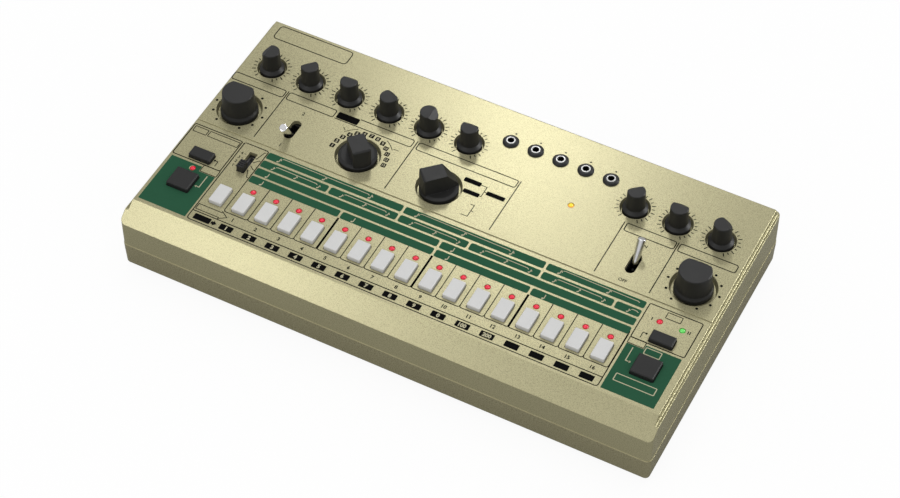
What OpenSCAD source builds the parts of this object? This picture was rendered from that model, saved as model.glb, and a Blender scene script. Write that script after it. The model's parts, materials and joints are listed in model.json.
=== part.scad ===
// Desktop analogue drum machine: a two-part case whose panel carries rotary knobs, selectors,
// toggles, a slide switch, a row of step keys and output jacks, with the boards and the rear
// sockets inside. Millimetres, Z up. The origin is on the table, under the middle of the case.

/* [Case] */
// Width over the parting line
case_w = 303.2; // [252.8:0.4:364]
// Depth over the parting line
case_d = 161.6; // [134.4:0.2:195]
// Height from the underside of the lower shell to the panel
case_h = 39.3; // [39.2:0.1:47.2]
// Wall of both shells
wall = 2.2; // [1.8:0.1:2.7]
// Thickness of the control panel
panel_t = 2.5; // [2:0.1:3]
// Height of the parting line above the underside
parting_h = 15.1; // [13:0.1:18]
// How far the lower shell stands out beyond the upper one
lip = 0.15; // [0.1:0.05:0.4]
// How far the upper walls lean in between the parting line and the ledge
upper_lean = 0.1; // [0:0.05:0.3]
// How far the lower walls lean in towards the underside
lower_lean = 0.4; // [0.2:0.1:1]
// Vertical corners
corner_r = 2.9; // [2.4:0.1:4]
// Height of the rubber feet below the case
foot_h = 3; // [2:0.1:4]
// Radius of the rubber feet
foot_r = 7; // [5:0.5:9]

/* [Panel] */
// Inset of the panel's sides from the parting line
side_inset = 2.2; // [2.1:0.1:3]
// Inset of the panel's rear edge from the parting line
rear_inset = 2.4; // [2.2:0.1:3.5]
// Depth of the ledge round the panel
ledge_drop = 3.4; // [3:0.1:4.2]
// Rounding of the panel's edge
panel_edge_r = 0.7; // [0.3:0.1:1]
// Distance of the bevel's upper edge from the front
bevel_setback = 11.8; // [8:0.1:14]
// Slope of the front bevel in degrees
bevel_angle = 35.7; // [32:0.1:42]
// Width of the grooves along the ledges, at their bottom
ledge_groove_w = 0.5; // [0.4:0.05:0.6]
// Depth of the grooves along the ledges
ledge_groove_depth = 0.45; // [0.3:0.05:0.6]
// Width of the groove across the panel
groove_w = 0.75; // [0.5:0.05:1.2]
// Depth of the groove across the panel
groove_depth = 0.5; // [0.3:0.05:0.8]

/* [Layout] */
// First control column, from the panel's left edge
column_left = 16.25; // [15:0.1:20]
// Last control column, from the panel's right edge
column_right = 17.45; // [15:0.1:20]
// First step key, from the panel's left edge
key_left = 53.15; // [50:0.1:56]
// Last step key, from the panel's right edge
key_right = 41; // [38:0.05:45]
// Left buttons, from the panel's left edge
button_left = 16.45; // [14:0.1:17]
// Right buttons, from the panel's right edge
button_right = 17.2; // [14:0.05:18]
// Row of small knobs, as a part of the panel's depth from its front edge
knob_row_at = 0.781; // [0.75:0.001:0.8]
// Row of selectors and toggles, as a part of the panel's depth
selector_row_at = 0.5461; // [0.52:0.0001:0.57]
// Groove across the panel, as a part of the panel's depth
groove_at = 0.4322; // [0.425:0.0002:0.437]
// Row of step keys, as a part of the panel's depth
key_row_at = 0.1526; // [0.14:0.0002:0.17]
// Pitch of the output jacks
jack_pitch = 14.6; // [12:0.1:16]

/* [Knobs] */
// Height of a small knob above the panel
small_knob_h = 12.7; // [10:0.1:16]
// Skirt radius of a small knob
small_skirt_r = 6.8; // [6:0.1:7.2]
// Grip radius of a small knob at its foot
small_grip_r = 5.2; // [4.5:0.1:5.8]
// Height of a large knob above the panel
large_knob_h = 13.3; // [11:0.1:17]
// Skirt radius of a large knob
large_skirt_r = 10.2; // [9:0.1:10.8]
// Grip radius of a large knob at its foot
large_grip_r = 9.3; // [8:0.1:9.7]
// Height of a selector above the panel
selector_h = 12.1; // [10:0.1:16]
// Skirt radius of a selector
selector_r = 10.5; // [9.5:0.1:11]
// Half width of a selector's grip
selector_half = 4.75; // [4:0.05:5.5]
// Control shafts
shaft_r = 3; // [2.5:0.1:3.2]
// Running clearance of a shaft in its bushing
shaft_gap = 0.05; // [0.02:0.01:0.08]

/* [Keys and switches] */
// Width of a step key
key_w = 7.3; // [6:0.1:7.6]
// Length of a step key
key_l = 12.3; // [10:0.1:13]
// Height of a step key above the panel
key_h = 2.2; // [1.4:0.1:3]
// Bevel of a step key's top edges
key_bevel = 0.3; // [0.2:0.05:0.6]
// Travel of keys and buttons
key_travel = 0.8; // [0.5:0.1:1]
// Side of a square button
button_w = 12.7; // [10:0.1:13]
// Length of a large button
button_l = 12.4; // [10:0.1:13]
// Length of a small button
button_s = 6.7; // [5:0.1:8]
// Height of a button above the panel
button_h = 2.6; // [2:0.1:4]
// Bevel of a button's top edges
button_bevel = 0.5; // [0.3:0.05:1]
// Gap round keys and buttons
key_gap = 0.3; // [0.2:0.05:0.4]
// Length of a toggle from its pivot to its tip
toggle_l = 18; // [15:0.1:21]
// Lean of a toggle to each side in degrees
toggle_lean = 30; // [20:1:32]
// Travel of the slide switch
slide_travel = 9.6; // [8:0.1:10]

/* [Hidden] */
$fn = 48;

champagne = "#b3ab86";
champagne_dark = "#8a8264";
black_plastic = "#2e2e2f";
key_white = "#dcdcd8";
chrome = "#c9ccd0";
board_green = "#2f6b45";
socket_black = "#1d1d1e";
led_red = "#e0283c";
led_green = "#4fd65a";
led_amber = "#f5b93a";

top = foot_h + case_h;
ledge_z = top - ledge_drop;
half_w = case_w / 2;
half_d = case_d / 2;
panel_x = half_w - side_inset;
panel_front = -half_d + bevel_setback;
panel_rear = half_d - rear_inset;
panel_depth = panel_rear - panel_front;
upper_inset = lip + upper_lean;
past = 20;                    // how far cutting shapes run past the case
skin = 0.1;                   // overlap of shapes that join

board_t = 1.6;
panel_board_top = top - 11.1;
panel_board_low = panel_board_top - board_t;
parting_z = foot_h + parting_h;
main_top = min(parting_z + 1.1, top - panel_t - 18.6);
main_low = main_top - board_t;
board_x = panel_x - 9.4;
panel_board_front = panel_front + 3;
panel_board_rear = panel_rear - 15.5;
main_board_front = -half_d + 20.8;
main_board_rear = half_d - 4.8;
recess_y = half_d - 1.5;      // flat bottom of the shallow recess round the rear sockets
inner_rear = half_d - upper_inset - wall;
socket_z = main_top + 9.4;

column_pitch = (2 * panel_x - column_left - column_right) / 11;
key_pitch = (2 * panel_x - key_left - key_right) / 15;
left_x = -panel_x + button_left;
right_x = panel_x - button_right;
knob_row = panel_front + knob_row_at * panel_depth;
selector_row = panel_front + selector_row_at * panel_depth;
groove_row = panel_front + groove_at * panel_depth;
key_row = panel_front + key_row_at * panel_depth;
led_row = key_row + 10.1;
small_button_row = key_row + 19.4;
slide_row = key_row + 26.5;
group_led_row = key_row + 29.9;
jack_row = panel_rear - 21.2;

function col(k) = -panel_x + column_left + k * column_pitch;
function key_x(i) = -panel_x + key_left + i * key_pitch;
function two_digits(i) = str(i < 10 ? "0" : "", i);
function arc(n) = [for (i = [0 : n]) 90 * i / n];

// where each rotary control points, in degrees from the right, and its column
small_columns = [0, 1, 2, 3, 4, 5, 9, 10, 11];
small_points = [180, 138, 90, 54, 0, 90, 135, 90, 49];
small_spots = [for (c = small_columns) [col(c), knob_row]];
tempo_spot = [col(0), selector_row];
volume_spot = [col(11), selector_row];
instrument_spot = [col(3), selector_row];
mode_spot = [col(5), selector_row];
instrument_point = 135;
mode_point = 45;

variant_spot = [col(1.357), selector_row];
distortion_spot = [col(9.622), selector_row];
toggle_spots = [variant_spot, distortion_spot];
jack_spots = [for (i = [-2 : 2]) [col(7) + i * jack_pitch, jack_row]];
slide_x = key_x(-1);

start_spot = [left_x, key_row];
tap_spot = [right_x, key_row];
clear_spot = [left_x, small_button_row];
group_spot = [right_x, small_button_row];
key_spots = [for (i = [-1 : 15]) [key_x(i), key_row]];
switch_spots = concat(key_spots, [start_spot, tap_spot, clear_spot, group_spot]);

red_spots = concat([for (i = [0 : 15]) [key_x(i), led_row]],
    [[left_x, led_row], [right_x - 6.2, group_led_row]]);
green_spot = [right_x + 6.1, group_led_row];
amber_spot = [col(7.755), knob_row - 14.1];

// wells round the rotary controls
well_depth = 2.9;
well_slope = 1;
cup_wall = 1.4;
small_well_r = small_skirt_r + 1.4;
large_well_r = large_skirt_r + 2.3;
selector_well_r = selector_r + 1.9;
bushing_r = shaft_r + 1;
bushing_gap = 0.2;
skirt_low = -2.2;
shaft_end = -9.5;
pot = [9.8, 11];
rotary = [15, 15];
pot_top = top - well_depth - cup_wall - 0.3;

// rear sockets, spread over the width
output_x = [-0.246 * case_w, -0.164 * case_w];
usb_x = -0.05 * case_w;
midi_x = [0.08 * case_w, 0.17 * case_w];
dc_x = 0.31 * case_w;
power_x = 0.4 * case_w;
din_r = 7.4;
output_collar_r = 5.9;
output_bore_r = 3.25;
output_z = main_top + 8;
output_front = max(panel_board_rear - 9, knob_row + 7);   // front of the output jacks' bodies
jack_bore_r = 1.8;
jack_collar_r = 2.5;
usb = [12, 11];
socket_raise = 2.6;           // pedestal under the sockets that reach through the wall
usb_z = main_top + socket_raise + usb.y / 2;
dc = [9, 11];
dc_z = main_top + socket_raise + 6;
power = [18.8, 12.6];
bezel = [21.4, 14.4, 1.2];
rocker = [14.8, 9.8];
rocker_tilt = 8;
rocker_pivot_y = half_d - 3.1;
rocker_pivot = [power_x, rocker_pivot_y, socket_z];

// screws: case screws, main board screws and panel board screws
case_boss_r = 3.2;
case_post_r = 4.6;
case_spots = concat(
    [for (x = [-1, 1], y = [-1, 0, 1]) [x * (half_w - 6.2), y * (half_d - 22)]],
    [for (x = [-1, 1]) [x * case_w / 5, -half_d + 9.8]]);
main_spots = [for (x = [-1, 0, 1], y = [-1, 1]) [x * (board_x - 10), y * (half_d - 30)]];
panel_spots = [for (c = [0.5, 4, 8.6, 10.5], y = [key_row - 14.5, knob_row - 16.6]) [col(c), y]];
front_boss_top = top - 0.6 - (case_boss_r - 9.8 + bevel_setback) * tan(bevel_angle);
head_seat = foot_h + 9;

toggle_pivot = top - 5.5;
slide_rest = -slide_travel / 2;

/* The node to build, or all of them */

// ---------------------------------------------------------------- shared shapes

// Flat rounded rectangle about the origin.
module plate(w, d, r) {
    square([w - 2 * r, d], center = true);
    square([w, d - 2 * r], center = true);
    for (x = [-1, 1], y = [-1, 1])
        translate([x * (w / 2 - r), y * (d / 2 - r)]) circle(r);
}

// Upright rounded block that starts at z = low and ends at z = high.
module block(w, d, r, low, high)
    translate([0, 0, low]) linear_extrude(high - low) plate(w, d, r);

// Rounded block lofted through rings: [inset at the sides, inset front and rear, z, radius].
module lofted(w, d, rings, steps = 6) {
    ring_len = 4 * (steps + 1);
    points = [for (ring = rings, corner = [0 : 3], i = [0 : steps])
        let (angle = 90 * (corner + i / steps), r = ring[3],
             sx = corner == 0 || corner == 3 ? 1 : -1, sy = corner < 2 ? 1 : -1)
        [sx * (w / 2 - ring[0] - r) + r * cos(angle),
         sy * (d / 2 - ring[1] - r) + r * sin(angle), ring[2]]];
    last = (len(rings) - 1) * ring_len;
    sides = [for (k = [0 : len(rings) - 2], i = [0 : ring_len - 1])
        let (j = (i + 1) % ring_len, a = k * ring_len, b = a + ring_len)
        [b + i, b + j, a + j, a + i]];
    polyhedron(points, concat([[for (i = [0 : ring_len - 1]) i]],
        [[for (i = [ring_len - 1 : -1 : 0]) last + i]], sides), convexity = 6);
}

// Prism along X through the whole case, from an outline in Y and Z.
module across_case(outline)
    rotate([90, 0, 90]) linear_extrude(case_w + 2 * past, center = true) polygon(outline);

// What the front bevel takes away, lowered by a depth measured straight into the panel.
module bevel_cut(depth = 0) {
    drop = depth / cos(bevel_angle);
    run = bevel_setback + past;
    across_case([[panel_front, top - drop], [panel_front + past, top - drop + past * tan(bevel_angle)],
        [panel_front - run, top + 2 * past], [panel_front - run, top - drop - run * tan(bevel_angle)]]);
}

module at(spot, z = 0) translate([spot.x, spot.y, z]) children();

// Hole or pin along Y that starts at y = from and runs rearwards.
module along_y(x, z, r, from, to)
    translate([x, from, z]) rotate([-90, 0, 0]) cylinder(r = r, h = to - from);

// Screw with a cross recess: head under z = 0, shank up to z = length.
module screw(shank_r, length, head_r, head_h) {
    difference() {
        translate([0, 0, -head_h]) cylinder(r1 = head_r * 0.8, r2 = head_r, h = head_h);
        for (turn = [0, 90]) rotate(turn)
            translate([-head_r * 0.55, -0.3, -head_h - skin]) cube([head_r * 1.1, 0.6, 0.9]);
    }
    cylinder(r = shank_r, h = length);
}

// ---------------------------------------------------------------- case

// Rings of the upper shell: leaning wall, ledge, step up and rounded panel edge.
ledge_edge_r = 0.35;
foot_fillet_r = 0.3;
panel_corner_r = 0.8;
function even_ring(inset, z, r) = [inset, inset, z, r];
function panel_ring(shift, z, r) = [side_inset + shift, rear_inset + shift, z, r];
upper_rings = concat(
    [even_ring(lip, parting_z, corner_r)],
    [for (a = arc(3)) even_ring(upper_inset + ledge_edge_r * (1 - cos(a)),
        ledge_z - ledge_edge_r * (1 - sin(a)), corner_r)],
    [for (a = arc(2)) panel_ring(-foot_fillet_r * (1 - sin(a)),
        ledge_z + foot_fillet_r * (1 - cos(a)), panel_corner_r + foot_fillet_r)],
    [for (a = arc(4)) panel_ring(panel_edge_r * (1 - cos(a)),
        top - panel_edge_r * (1 - sin(a)), panel_corner_r - panel_edge_r * (1 - cos(a)))]);

// Rings of the lower shell: rounded underside, leaning wall and upright rim.
underside_r = 1;
lower_rings = concat(
    [for (a = arc(4)) even_ring(lower_lean + underside_r * (1 - sin(a)),
        foot_h + underside_r * (1 - cos(a)), corner_r - lower_lean)],
    [even_ring(0, parting_z - 2.5, corner_r), even_ring(0, parting_z, corner_r)]);

// Groove along one ledge, with bevelled rims and round ends.
module ledge_groove(side) {
    chamfer = 0.25;
    r = ledge_groove_w / 2;
    rear_end = panel_rear - 0.4 - r;
    front_end = panel_front - ledge_drop / tan(bevel_angle) - 0.4;
    length = rear_end - front_end;
    middle = (half_w - upper_inset + panel_x) / 2;
    translate([side * middle, front_end, ledge_z]) {
        translate([-r, 0, -ledge_groove_depth]) cube([2 * r, length, past]);
        for (y = [0, length]) translate([0, y, 0]) {
            translate([0, 0, -ledge_groove_depth]) cylinder(r = r, h = ledge_groove_depth + 1);
            translate([0, 0, -chamfer]) cylinder(r1 = r, r2 = r + chamfer, h = chamfer);
        }
        rotate([-90, 0, 0]) linear_extrude(length) polygon([[-r, chamfer], [r, chamfer],
            [r + chamfer, 0], [-r - chamfer, 0]]);
    }
}

module upper_cavity() difference() {
    union() {
        block(2 * (half_w - upper_inset - wall), 2 * inner_rear, corner_r - 1, foot_h,
            ledge_z - wall);
        block(2 * (panel_x - wall), 2 * (panel_rear - wall), 2, ledge_z - wall - skin,
            top - panel_t);
    }
    bevel_cut(wall);
}

// Cups under the panel that carry the wells of the rotary controls.
module well_cups() {
    cup_low = top - well_depth - cup_wall;
    cup_h = well_depth + cup_wall - panel_t + skin;
    for (s = small_spots) at(s, cup_low) cylinder(r = small_well_r + cup_wall, h = cup_h);
    for (s = [tempo_spot, volume_spot]) at(s, cup_low)
        cylinder(r = large_well_r + cup_wall, h = cup_h);
    for (s = [instrument_spot, mode_spot]) at(s, cup_low)
        cylinder(r = selector_well_r + cup_wall, h = cup_h);
}

// One well with sloping sides and a hole for the bushing.
module well(r) {
    translate([0, 0, top - well_depth]) cylinder(r1 = r - well_slope, r2 = r, h = well_depth);
    translate([0, 0, top]) cylinder(r = r, h = past);
    translate([0, 0, top - well_depth - cup_wall - skin])
        cylinder(r = bushing_r + bushing_gap, h = well_depth);
}

module panel_slot(w, l, r) block(w, l, r, top - panel_t - skin, top + past);

led_hole_r = 1.7;
toggle_slot = [5.5, 13.7];
slide_slot = [4.7, 15];

module panel_openings() {
    for (s = small_spots) at(s) well(small_well_r);
    for (s = [tempo_spot, volume_spot]) at(s) well(large_well_r);
    for (s = [instrument_spot, mode_spot]) at(s) well(selector_well_r);
    for (s = key_spots) at(s) panel_slot(key_w + 2 * key_gap, key_l + 2 * key_gap, 0.6);
    for (s = [start_spot, tap_spot]) at(s)
        panel_slot(button_w + 2 * key_gap, button_l + 2 * key_gap, 0.8);
    for (s = [clear_spot, group_spot]) at(s)
        panel_slot(button_w + 2 * key_gap, button_s + 2 * key_gap, 0.8);
    for (s = toggle_spots) at(s) panel_slot(toggle_slot.x, toggle_slot.y, toggle_slot.x / 2 - 0.01);
    at([slide_x, slide_row]) panel_slot(slide_slot.x, slide_slot.y, 0.4);
    for (s = concat(red_spots, [green_spot, amber_spot])) at(s, top - panel_t - skin)
        cylinder(r = led_hole_r, h = panel_t + past);
    for (s = jack_spots) at(s, top - panel_t - skin)
        cylinder(r = jack_collar_r + 0.2, h = panel_t + past);
    translate([-half_w, groove_row - groove_w / 2, top - groove_depth])
        cube([case_w, groove_w, past]);
}

module rear_openings() {
    far = half_d + past;
    near = inner_rear - 4;
    recess_low = main_top + 2.1;
    translate([output_x[0] - 12, recess_y, recess_low])
        cube([power_x + 14 - (output_x[0] - 12), past, ledge_z - 1.2 - recess_low]);
    for (x = output_x) along_y(x, output_z, output_collar_r + 0.2, near, far);
    for (x = midi_x) along_y(x, socket_z, din_r + 0.3, near, far);
    for (socket = [[usb_x, usb], [dc_x, dc]])
        translate([socket[0] - socket[1].x / 2 - 0.3, near, main_top + socket_raise - 0.3])
            cube([socket[1].x + 0.6, far - near, socket[1].y + 0.6]);
    translate([power_x - power.x / 2 - 0.2, near, socket_z - power.y / 2 - 0.2])
        cube([power.x + 0.4, far - near, power.y + 0.4]);
}

module top_shell() color(champagne) difference() {
    union() {
        difference() {
            lofted(case_w, case_d, upper_rings);
            bevel_cut();
            upper_cavity();
        }
        well_cups();
        for (s = case_spots) at(s, parting_z)
            cylinder(r = case_boss_r,
                h = (s.y < panel_front ? front_boss_top : top - panel_t + skin) - parting_z);
        for (s = panel_spots) at(s, panel_board_top)
            cylinder(r = 2.6, h = top - panel_t + skin - panel_board_top);
    }
    panel_openings();
    rear_openings();
    for (side = [-1, 1]) ledge_groove(side);
    for (s = case_spots) at(s, foot_h) cylinder(r = 1.3, h = head_seat + 15 - foot_h);
    for (s = panel_spots) at(s, panel_board_top - skin) cylinder(r = 1.05, h = 6);
}

module bottom_shell() color(champagne_dark) difference() {
    union() {
        difference() {
            lofted(case_w, case_d, lower_rings);
            block(case_w - 2 * (lower_lean + wall), case_d - 2 * (lower_lean + wall),
                corner_r - 1, foot_h + wall, top);
        }
        for (s = case_spots) at(s, foot_h + skin) cylinder(r = case_post_r, h = parting_h - skin);
        for (s = main_spots) at(s, foot_h + skin) cylinder(r = 3.2, h = main_low - foot_h - skin);
    }
    for (s = case_spots) at(s, 0) {
        cylinder(r = 3.4, h = head_seat);
        cylinder(r = 1.6, h = top);
    }
    for (s = main_spots) at(s, main_low - 7) cylinder(r = 1.05, h = 8);
    rear_openings();
    for (s = foot_spots) at(s, 0) cylinder(r = foot_r + 0.2, h = foot_h + 0.5);
}

foot_spots = [for (x = [-1, 1], y = [-1, 1]) [x * (half_w - 22.5), y * (half_d - 18.8)]];

module rubber_feet() color(socket_black)
    for (s = foot_spots) at(s) {
        cylinder(r1 = foot_r - 0.8, r2 = foot_r, h = 0.8);
        translate([0, 0, 0.8]) cylinder(r = foot_r, h = foot_h + 0.5 - 0.8);
    }

module screws() color(chrome) {
    for (s = case_spots) at(s, head_seat) screw(1.25, 14, 2.8, 1.8);
    for (s = main_spots) at(s, main_top) rotate([180, 0, 0]) screw(1, board_t + 6, 2.2, 1.4);
    for (s = panel_spots) at(s, panel_board_low) screw(1, board_t + 5, 2.2, 1.4);
}

// ---------------------------------------------------------------- boards

notch = 9;                    // half width of the notch round each output jack

module panel_board() color(board_green) difference() {
    translate([-board_x, panel_board_front, panel_board_low])
        cube([2 * board_x, panel_board_rear - panel_board_front, board_t]);
    for (s = panel_spots) at(s, panel_board_low - skin) cylinder(r = 1.5, h = board_t + 1);
    for (x = output_x) translate([x - notch, output_front - 0.5, panel_board_low - skin])
        cube([2 * notch, past, board_t + 1]);
}

voices = 8;
voice_pitch = 1.8 * board_x / voices;
function voice_x(i) = (i + 0.5 - voices / 2) * voice_pitch;

// Row of chips and upright capacitors of one voice circuit.
module voice_circuit() {
    for (y = [0, 1, 2]) translate([-3.2, y * 24, 0]) cube([6.4, 17, 3.2]);
    for (y = [0, 1, 2]) translate([0, y * 24 + 20.5, 0]) cylinder(r = 2.4, h = 6.5);
}

module main_board() color(board_green) {
    difference() {
        translate([-board_x, main_board_front, main_low])
            cube([2 * board_x, main_board_rear - main_board_front, board_t]);
        for (s = main_spots) at(s, main_low - skin) cylinder(r = 1.5, h = board_t + 1);
    }
    for (i = [0 : voices - 1])
        translate([voice_x(i), main_board_front + 16, main_top - skin]) voice_circuit();
    translate([-9, 8, main_top - skin]) cube([18, 18, 1.8]);
}

ribbon_w = 18;
ribbon_x = voice_x(0.5);
ribbon_y = -0.02 * case_d;
ribbon_r = (panel_board_low - main_top) / 2 - 2;

module ribbon_cable() color("#8d8f92") translate([ribbon_x, ribbon_y, 0]) {
    mid = (panel_board_low + main_top) / 2;
    for (side = [-1, 1])
        translate([-ribbon_w / 2, -10, mid + side * ribbon_r - 0.5]) cube([ribbon_w, 16, 1]);
    translate([-ribbon_w / 2, 6, mid]) rotate([90, 0, 90]) rotate(-90)
        rotate_extrude_half(ribbon_r, ribbon_w);
    translate([-ribbon_w / 2 - 2, -15, main_top]) cube([ribbon_w + 4, 6, 4]);
    translate([-ribbon_w / 2 - 2, -15, panel_board_low - 4]) cube([ribbon_w + 4, 6, 4]);
}

// Half turn of flat cable of radius r and the given width.
module rotate_extrude_half(r, w)
    rotate_extrude(angle = 180) translate([r - 0.5, 0]) square([1, w]);

// ---------------------------------------------------------------- rotary controls

module turned_body(size, spot) difference() {
    at(spot) {
        translate([-size.x / 2, -size.y / 2, panel_board_top])
            cube([size.x, size.y, pot_top - panel_board_top]);
        translate([0, 0, pot_top - skin]) cylinder(r = bushing_r, h = cup_wall + 0.2);
    }
    at(spot, top + shaft_end - 0.5) cylinder(r = shaft_r + shaft_gap, h = 12);
}

module potentiometers() color("#5c6166")
    for (s = concat(small_spots, [tempo_spot, volume_spot])) turned_body(pot, s);

module rotary_switches() color("#3a3d40")
    for (s = [instrument_spot, mode_spot]) turned_body(rotary, s);

// Shaft with a flat, from the knob's underside down into the bushing.
module shaft() difference() {
    translate([0, 0, shaft_end]) cylinder(r = shaft_r, h = skirt_low - shaft_end + skin);
    translate([shaft_r - 0.6, -shaft_r, shaft_end - skin]) cube([shaft_r, 2 * shaft_r, 5]);
}

// Round knob whose pointer is a sloping facet cut across the top, towards +X.
module round_knob(skirt_r, grip_r, h, facet_from, facet_drop) {
    edge = 0.3;
    top_r = grip_r * 0.915;
    cone_top = 1.9;
    difference() {
        union() {
            translate([0, 0, skirt_low]) cylinder(r = skirt_r, h = 0.2 - skirt_low);
            translate([0, 0, 0.2]) cylinder(r1 = skirt_r, r2 = grip_r, h = cone_top - 0.2);
            translate([0, 0, cone_top]) cylinder(r1 = grip_r, r2 = top_r, h = h - edge - cone_top);
            translate([0, 0, h - edge]) cylinder(r1 = top_r, r2 = top_r - edge, h = edge);
        }
        slope = facet_drop / (top_r - facet_from);
        rotate([90, 0, 0]) linear_extrude(4 * grip_r, center = true)
            polygon([[facet_from - 1, h + slope], [2 * grip_r, h + slope],
                [2 * grip_r, h - slope * (2 * grip_r - facet_from)]]);
    }
    shaft();
}

module small_knob(i) color(black_plastic) at(small_spots[i], top) rotate(small_points[i])
    round_knob(small_skirt_r, small_grip_r, small_knob_h, 1.7, 2.8);

module large_knob(spot) color(black_plastic) at(spot, top) rotate(90)
    round_knob(large_skirt_r, large_grip_r, large_knob_h, 5.6, 3);

// Selector: low skirt with a tall bar grip whose nose slopes down and narrows to the rim.
module selector(spot, point) color(black_plastic) at(spot, top) rotate(point) {
    rim = selector_r - 0.3;
    tail = -0.8 * selector_r;
    brow = 0.32 * selector_r;
    nose = 0.94 * selector_r;
    translate([0, 0, skirt_low]) cylinder(r = selector_r, h = 0.4 - skirt_low);
    translate([0, 0, 0.4]) cylinder(r1 = selector_r, r2 = selector_r - 1.6, h = 0.7);
    intersection() {
        translate([0, 0, -1]) cylinder(r = rim, h = selector_h + 1);
        rotate([90, 0, 0]) linear_extrude(4 * selector_half, center = true)
            polygon([[-rim, -1], [rim, -1], [rim, 1.6], [nose, 2.4], [brow, selector_h],
                [tail, selector_h], [tail - 0.9, selector_h - 0.6], [-rim, 1.5]]);
        linear_extrude(selector_h + 1) polygon([[-rim - 1, -selector_half - 0.2],
            [brow - 1, -selector_half], [brow + 0.6, -selector_half + 0.25], [rim, -2.5],
            [rim, 2.5], [brow + 0.6, selector_half - 0.25], [brow - 1, selector_half],
            [-rim - 1, selector_half + 0.2]]);
    }
    shaft();
}

module instrument_selector() selector(instrument_spot, instrument_point);
module mode_selector() selector(mode_spot, mode_point);

// ---------------------------------------------------------------- keys and buttons

flange = 0.9;                 // how far the hidden flange reaches past the cap
flange_low = -panel_t - 0.3 - 0.8;
stem = 3;
stem_end = -7.2;
switch_body = [6.4, 6.4];
switch_top = top - 5.6;

// Outline of a bar w wide from z = low to z = h with both top edges bevelled.
module bevelled_outline(w, low, h, bevel)
    polygon([[-w / 2, low], [w / 2, low], [w / 2, h - bevel], [w / 2 - bevel, h],
        [bevel - w / 2, h], [-w / 2, h - bevel]]);

// Cap with a bevelled top edge, a flange under the panel and a stem into the switch.
module cap(w, l, h, bevel) {
    intersection() {
        block(w, l, 0.6, flange_low, h);
        rotate([90, 0, 0]) linear_extrude(l, center = true)
            bevelled_outline(w, flange_low, h, bevel);
        rotate([90, 0, 90]) linear_extrude(w, center = true)
            bevelled_outline(l, flange_low, h, bevel);
    }
    block(w + 2 * flange, l + 2 * flange, 0.8, flange_low, flange_low + 0.8);
    translate([-stem / 2, -stem / 2, stem_end]) cube([stem, stem, flange_low - stem_end + skin]);
}

module step_key(i) color(key_white) at([key_x(i), key_row], top) cap(key_w, key_l, key_h, key_bevel);
module large_button(spot) color(black_plastic) at(spot, top)
    cap(button_w, button_l, button_h, button_bevel);
module small_button(spot) color(black_plastic) at(spot, top)
    cap(button_w, button_s, button_h, button_bevel);

module key_switches() color("#2b2d30")
    for (s = switch_spots) at(s) difference() {
        translate([-switch_body.x / 2, -switch_body.y / 2, panel_board_top])
            cube([switch_body.x, switch_body.y, switch_top - panel_board_top]);
        translate([-stem / 2 - 0.25, -stem / 2 - 0.25, top + stem_end - 1.3])
            cube([stem + 0.5, stem + 0.5, 10]);
    }

// ---------------------------------------------------------------- toggles and slide switch

toggle_root_r = 1.5;
toggle_tip_r = 2.2;
toggle_edge_r = 0.5;
toggle_ball_r = 2.1;
toggle_box = [8, 15];

// Bat lever: ball and pivot pin inside the switch, a cone that widens to a flat tip.
module toggle(spot, lean) color(chrome) at(spot, toggle_pivot) rotate([lean, 0, 0]) {
    sphere(r = toggle_ball_r);
    rotate_extrude() polygon(concat([[0, 0], [toggle_root_r, 0]],
        [for (a = arc(4)) [toggle_tip_r - toggle_edge_r * (1 - cos(a)),
            toggle_l - toggle_edge_r * (1 - sin(a))]], [[0, toggle_l]]));
    rotate([0, 90, 0]) cylinder(r = 0.8, h = toggle_box.x - 1, center = true);
}

module variant_toggle() toggle(variant_spot, toggle_lean);
module distortion_toggle() toggle(distortion_spot, -toggle_lean);

module toggle_switch_bodies() color("#6a2f2a")
    for (s = toggle_spots) at(s) difference() {
        translate([-toggle_box.x / 2, -toggle_box.y / 2, panel_board_top])
            cube([toggle_box.x, toggle_box.y, top - panel_t - 0.4 - panel_board_top]);
        translate([-toggle_ball_r - 0.4, -5.6, toggle_pivot - toggle_ball_r - 0.4])
            cube([2 * toggle_ball_r + 0.8, 11.2, 20]);
        translate([0, 0, toggle_pivot]) rotate([0, 90, 0])
            cylinder(r = 0.85, h = toggle_box.x - 0.8, center = true);
    }

slide_stem = [2.4, 3];
slide_stem_end = -8;
slide_box = [9, 20];

module scale_slider() color(black_plastic) at([slide_x, slide_row + slide_rest], top) {
    difference() {
        block(3.8, 5.3, 0.4, -3, 4.2);
        for (y = [-1.4, 0, 1.4]) translate([-3, y - 0.25, 3.7]) cube([6, 0.5, 1]);
    }
    translate([-slide_stem.x / 2, -slide_stem.y / 2, slide_stem_end])
        cube([slide_stem.x, slide_stem.y, -slide_stem_end - 2]);
}

module scale_switch_body() color("#6d7075") at([slide_x, slide_row]) difference() {
    translate([-slide_box.x / 2, -slide_box.y / 2, panel_board_top])
        cube([slide_box.x, slide_box.y, top - 3.6 - panel_board_top]);
    reach = slide_stem.y + slide_travel + 0.8;
    translate([-slide_stem.x / 2 - 0.3, -reach / 2, top + slide_stem_end - 0.5])
        cube([slide_stem.x + 0.6, reach, 10]);
}

// ---------------------------------------------------------------- lamps and jacks

led_r = 1.6;

// Dome lamp in its hole with a collar under the panel and two legs down to the board.
module lamp(spot, dome = 0.7) at(spot) {
    collar_z = top - panel_t - 1;
    translate([0, 0, collar_z]) cylinder(r = led_r, h = panel_t + 1 + dome - led_r * 0.7);
    intersection() {
        translate([0, 0, top + dome - led_r]) sphere(r = led_r);
        translate([-2, -2, collar_z]) cube([4, 4, 10]);
    }
    translate([0, 0, collar_z]) cylinder(r = led_r + 0.4, h = 0.8);
    for (x = [-1, 1]) translate([x * 0.8 - 0.2, -0.2, panel_board_top])
        cube([0.4, 0.4, collar_z - panel_board_top + skin]);
}

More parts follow.
